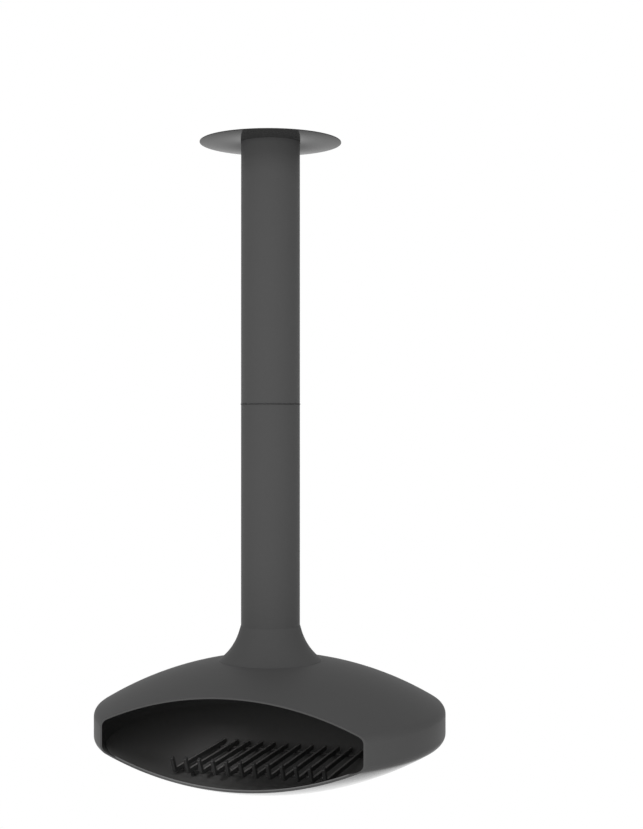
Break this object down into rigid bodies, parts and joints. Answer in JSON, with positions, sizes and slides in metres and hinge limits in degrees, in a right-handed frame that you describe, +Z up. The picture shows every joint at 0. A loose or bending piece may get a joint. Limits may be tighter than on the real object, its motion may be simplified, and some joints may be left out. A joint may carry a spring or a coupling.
{
  "type": "hanging fireplace",
  "caption": "Round open steel fireplace that hangs from the ceiling on its flue tube and turns with it, with a bar grate inside.",
  "frame": {"origin": "on the flue tube's axis, in the plane of the ceiling, which is the top face of the suspension plate", "axes": "+Z up along the tube, -Y out of the fire body's opening, +X to the right of someone who looks into the opening"},
  "size_m": [1.203, 0.9995, 2.231],
  "materials": {
    "body_paint": "satin anthracite heat-resistant paint",
    "rosette_paint": "gloss anthracite paint",
    "firebox_paint": "matt black heat-resistant paint",
    "grate_steel": "black forged bar",
    "raw_steel": "bare rolled steel",
    "stainless": "turned stainless steel",
    "zinc": "zinc-plated",
    "bearing_bronze": "turned bronze",
    "magnet": "nickel-plated"
  },
  "bodies": {
    "ceiling_mount": {"suspension_plate": "raw_steel", "hanger_flange": "raw_steel", "hanger_screw_1": "zinc", "hanger_screw_2": "zinc", "hanger_screw_3": "zinc", "hanger_screw_4": "zinc", "rosette_magnet_1": "magnet", "rosette_magnet_2": "magnet", "rosette_magnet_3": "magnet", "ceiling_rosette": "rosette_paint", "upper_tube": "body_paint", "seam_ring": "body_paint", "swivel_sleeve": "stainless", "retaining_ring": "stainless", "retaining_screw_1": "zinc", "retaining_screw_2": "zinc", "retaining_screw_3": "zinc", "thrust_ring": "bearing_bronze"},
    "fire_body": {"carrier_ring": "stainless", "lower_tube": "body_paint", "hood_shell": "body_paint", "bowl_shell": "body_paint", "joint_ring": "firebox_paint", "hearth_liner": "firebox_paint", "neck_flange": "raw_steel", "neck_bolt_1": "zinc", "neck_bolt_2": "zinc", "neck_bolt_3": "zinc", "neck_nut_1": "zinc", "neck_nut_2": "zinc", "neck_nut_3": "zinc", "collar": "body_paint", "damper_bush_left": "stainless", "damper_bush_right": "stainless"},
    "damper": {"damper_spindle": "stainless", "damper_disc": "firebox_paint", "damper_screw_1": "zinc", "damper_screw_2": "zinc", "damper_lever": "firebox_paint", "damper_knob": "grate_steel"},
    "grate": {"grate_bar_1": "grate_steel", "grate_bar_2": "grate_steel", "grate_bar_3": "grate_steel", "grate_bar_4": "grate_steel", "grate_bar_5": "grate_steel", "grate_bar_6": "grate_steel", "grate_bar_7": "grate_steel", "grate_bar_8": "grate_steel", "grate_bar_9": "grate_steel", "grate_bar_10": "grate_steel", "grate_bar_11": "grate_steel", "grate_bar_12": "grate_steel", "grate_rail_front": "grate_steel", "grate_rail_back": "grate_steel", "grate_foot_front_left": "grate_steel", "grate_foot_front_right": "grate_steel", "grate_foot_back_left": "grate_steel", "grate_foot_back_right": "grate_steel"}
  },
  "joints": [
    {"name": "hearth_swivel", "type": "hinge", "parent": "ceiling_mount", "child": "fire_body", "pos_m": [0, 0, -0.92], "axis": [0, 0, 1], "continuous": true},
    {"name": "damper_turn", "type": "hinge", "parent": "fire_body", "child": "damper", "pos_m": [0, 0, -1.83], "axis": [-1, 0, 0], "range_deg": [0, 90]},
    {"name": "grate_lift", "type": "slide", "parent": "fire_body", "child": "grate", "axis": [0, 0, 1], "range_m": [0, 0.1]}
  ]
}
